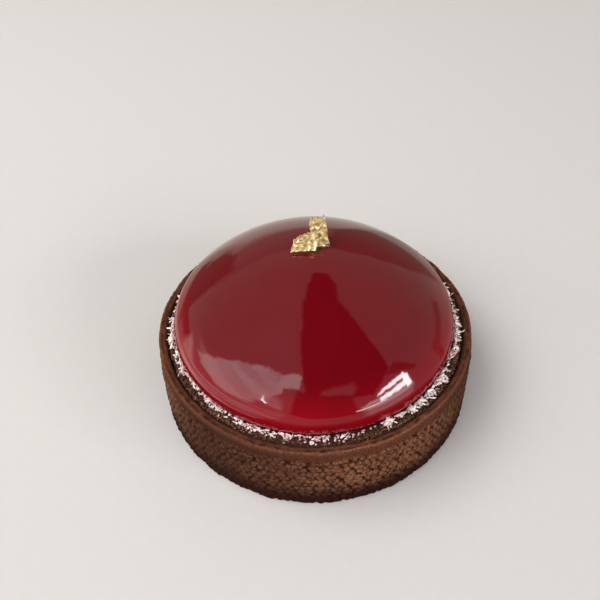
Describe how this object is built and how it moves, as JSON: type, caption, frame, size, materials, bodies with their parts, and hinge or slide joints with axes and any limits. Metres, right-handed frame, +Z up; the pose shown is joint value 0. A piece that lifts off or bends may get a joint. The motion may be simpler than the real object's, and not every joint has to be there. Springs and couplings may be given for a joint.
{
  "type": "chocolate tart",
  "caption": "Round cocoa tart with a glazed red dome on its filling, a collar of coconut shreds at the dome's foot and crumpled gold leaf on its crown.",
  "frame": {"origin": "centre of the crust's flat underside", "axes": "+Z up through the dome's crown; the picture was taken from the -Y side, with +X to its right"},
  "size_m": [0.0822, 0.082, 0.048],
  "materials": {
    "cocoa_pastry": "dry baked cocoa shortcrust with rows of small beads, paler on its worn edges",
    "dark_chocolate": "dark set chocolate, slightly crumbly, satin",
    "red_glaze": "deep red mirror glaze, wet gloss",
    "gold_leaf": "crumpled edible gold leaf, bright metal",
    "coconut": "dried coconut shreds, off-white, stained pink where they touch the glaze"
  },
  "bodies": {
    "root": {"crust": "cocoa_pastry", "filling": "dark_chocolate", "dome": "red_glaze", "gold_leaf_low": "gold_leaf", "gold_leaf_tall": "gold_leaf"}
  },
  "joints": []
}
